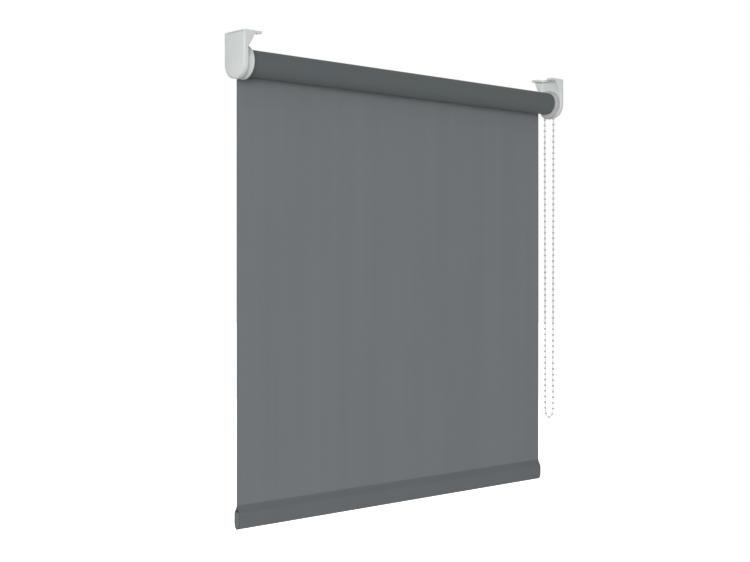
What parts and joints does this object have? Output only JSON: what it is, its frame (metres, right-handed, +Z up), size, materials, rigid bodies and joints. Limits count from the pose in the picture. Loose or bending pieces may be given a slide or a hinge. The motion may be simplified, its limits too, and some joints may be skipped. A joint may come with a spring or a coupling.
{
  "type": "roller blind",
  "caption": "Chain-operated roller blind: grey fabric on an aluminium roller tube between two white end brackets, with a weighted hem.",
  "frame": {"origin": "middle of the fixing edge: halfway between the brackets, in the plane of their tops and the plane of their backs", "axes": "+X to the chain end along the roller, +Y back towards the window, +Z up to the ceiling"},
  "size_m": [0.6328, 0.0448, 0.6391],
  "materials": {
    "bracket_plastic": "moulded, satin",
    "drive_plastic": "moulded, satin",
    "spring_steel": "drawn",
    "tube_aluminium": "mill",
    "hem_aluminium": "mill",
    "blind_fabric": "plain weave, fine vertical slubs",
    "cap_plastic": "moulded",
    "spline_plastic": "extruded",
    "chain_plastic": "moulded beads on a cord"
  },
  "bodies": {
    "bracket_frame": {"bracket_left": "bracket_plastic", "bracket_right": "bracket_plastic", "bracket_cover_left": "bracket_plastic", "bracket_cover_right": "bracket_plastic", "clutch_core": "drive_plastic", "retaining_clip": "spring_steel", "chain_guard": "bracket_plastic", "fabric_drop": "blind_fabric", "bead_chain": "chain_plastic"},
    "roller": {"roller_tube": "tube_aluminium", "fabric_spline": "spline_plastic", "fabric_roll": "blind_fabric", "idle_plug": "drive_plastic", "idle_guard_disc": "bracket_plastic", "idle_pin_spring": "spring_steel", "drive_hub": "drive_plastic", "wrap_spring_1": "spring_steel", "wrap_spring_2": "spring_steel"},
    "wheel": {"chain_wheel": "bracket_plastic"},
    "pin": {"idle_pin": "spring_steel"},
    "hem": {"hem_bar": "hem_aluminium", "hem_cap_left": "cap_plastic", "hem_cap_right": "cap_plastic", "hem_pocket": "blind_fabric"}
  },
  "joints": [
    {"name": "roller_turn", "type": "hinge", "parent": "bracket_frame", "child": "roller", "pos_m": [0, -0.021, -0.0385], "axis": [1, 0, 0], "range_deg": [0, 1640]},
    {"name": "wheel_turn", "type": "hinge", "parent": "bracket_frame", "child": "wheel", "pos_m": [0.306, -0.021, -0.0385], "axis": [1, 0, 0], "range_deg": [0, 1640]},
    {"name": "hem_lift", "type": "slide", "parent": "bracket_frame", "child": "hem", "axis": [0, 0, 1], "range_m": [0, 0.5282], "deforming": ["fabric_drop"]},
    {"name": "pin_press", "type": "slide", "parent": "roller", "child": "pin", "axis": [1, 0, 0], "range_m": [0, 0.0045], "stiffness_N_per_m": 300, "springref_m": -0.004, "deforming": ["idle_pin_spring"]}
  ],
  "couplings": [
    {"joint": "wheel_turn", "follows": "roller_turn", "ratio": 1},
    {"joint": "hem_lift", "follows": "roller_turn", "m_per_rad": 0.01845}
  ]
}
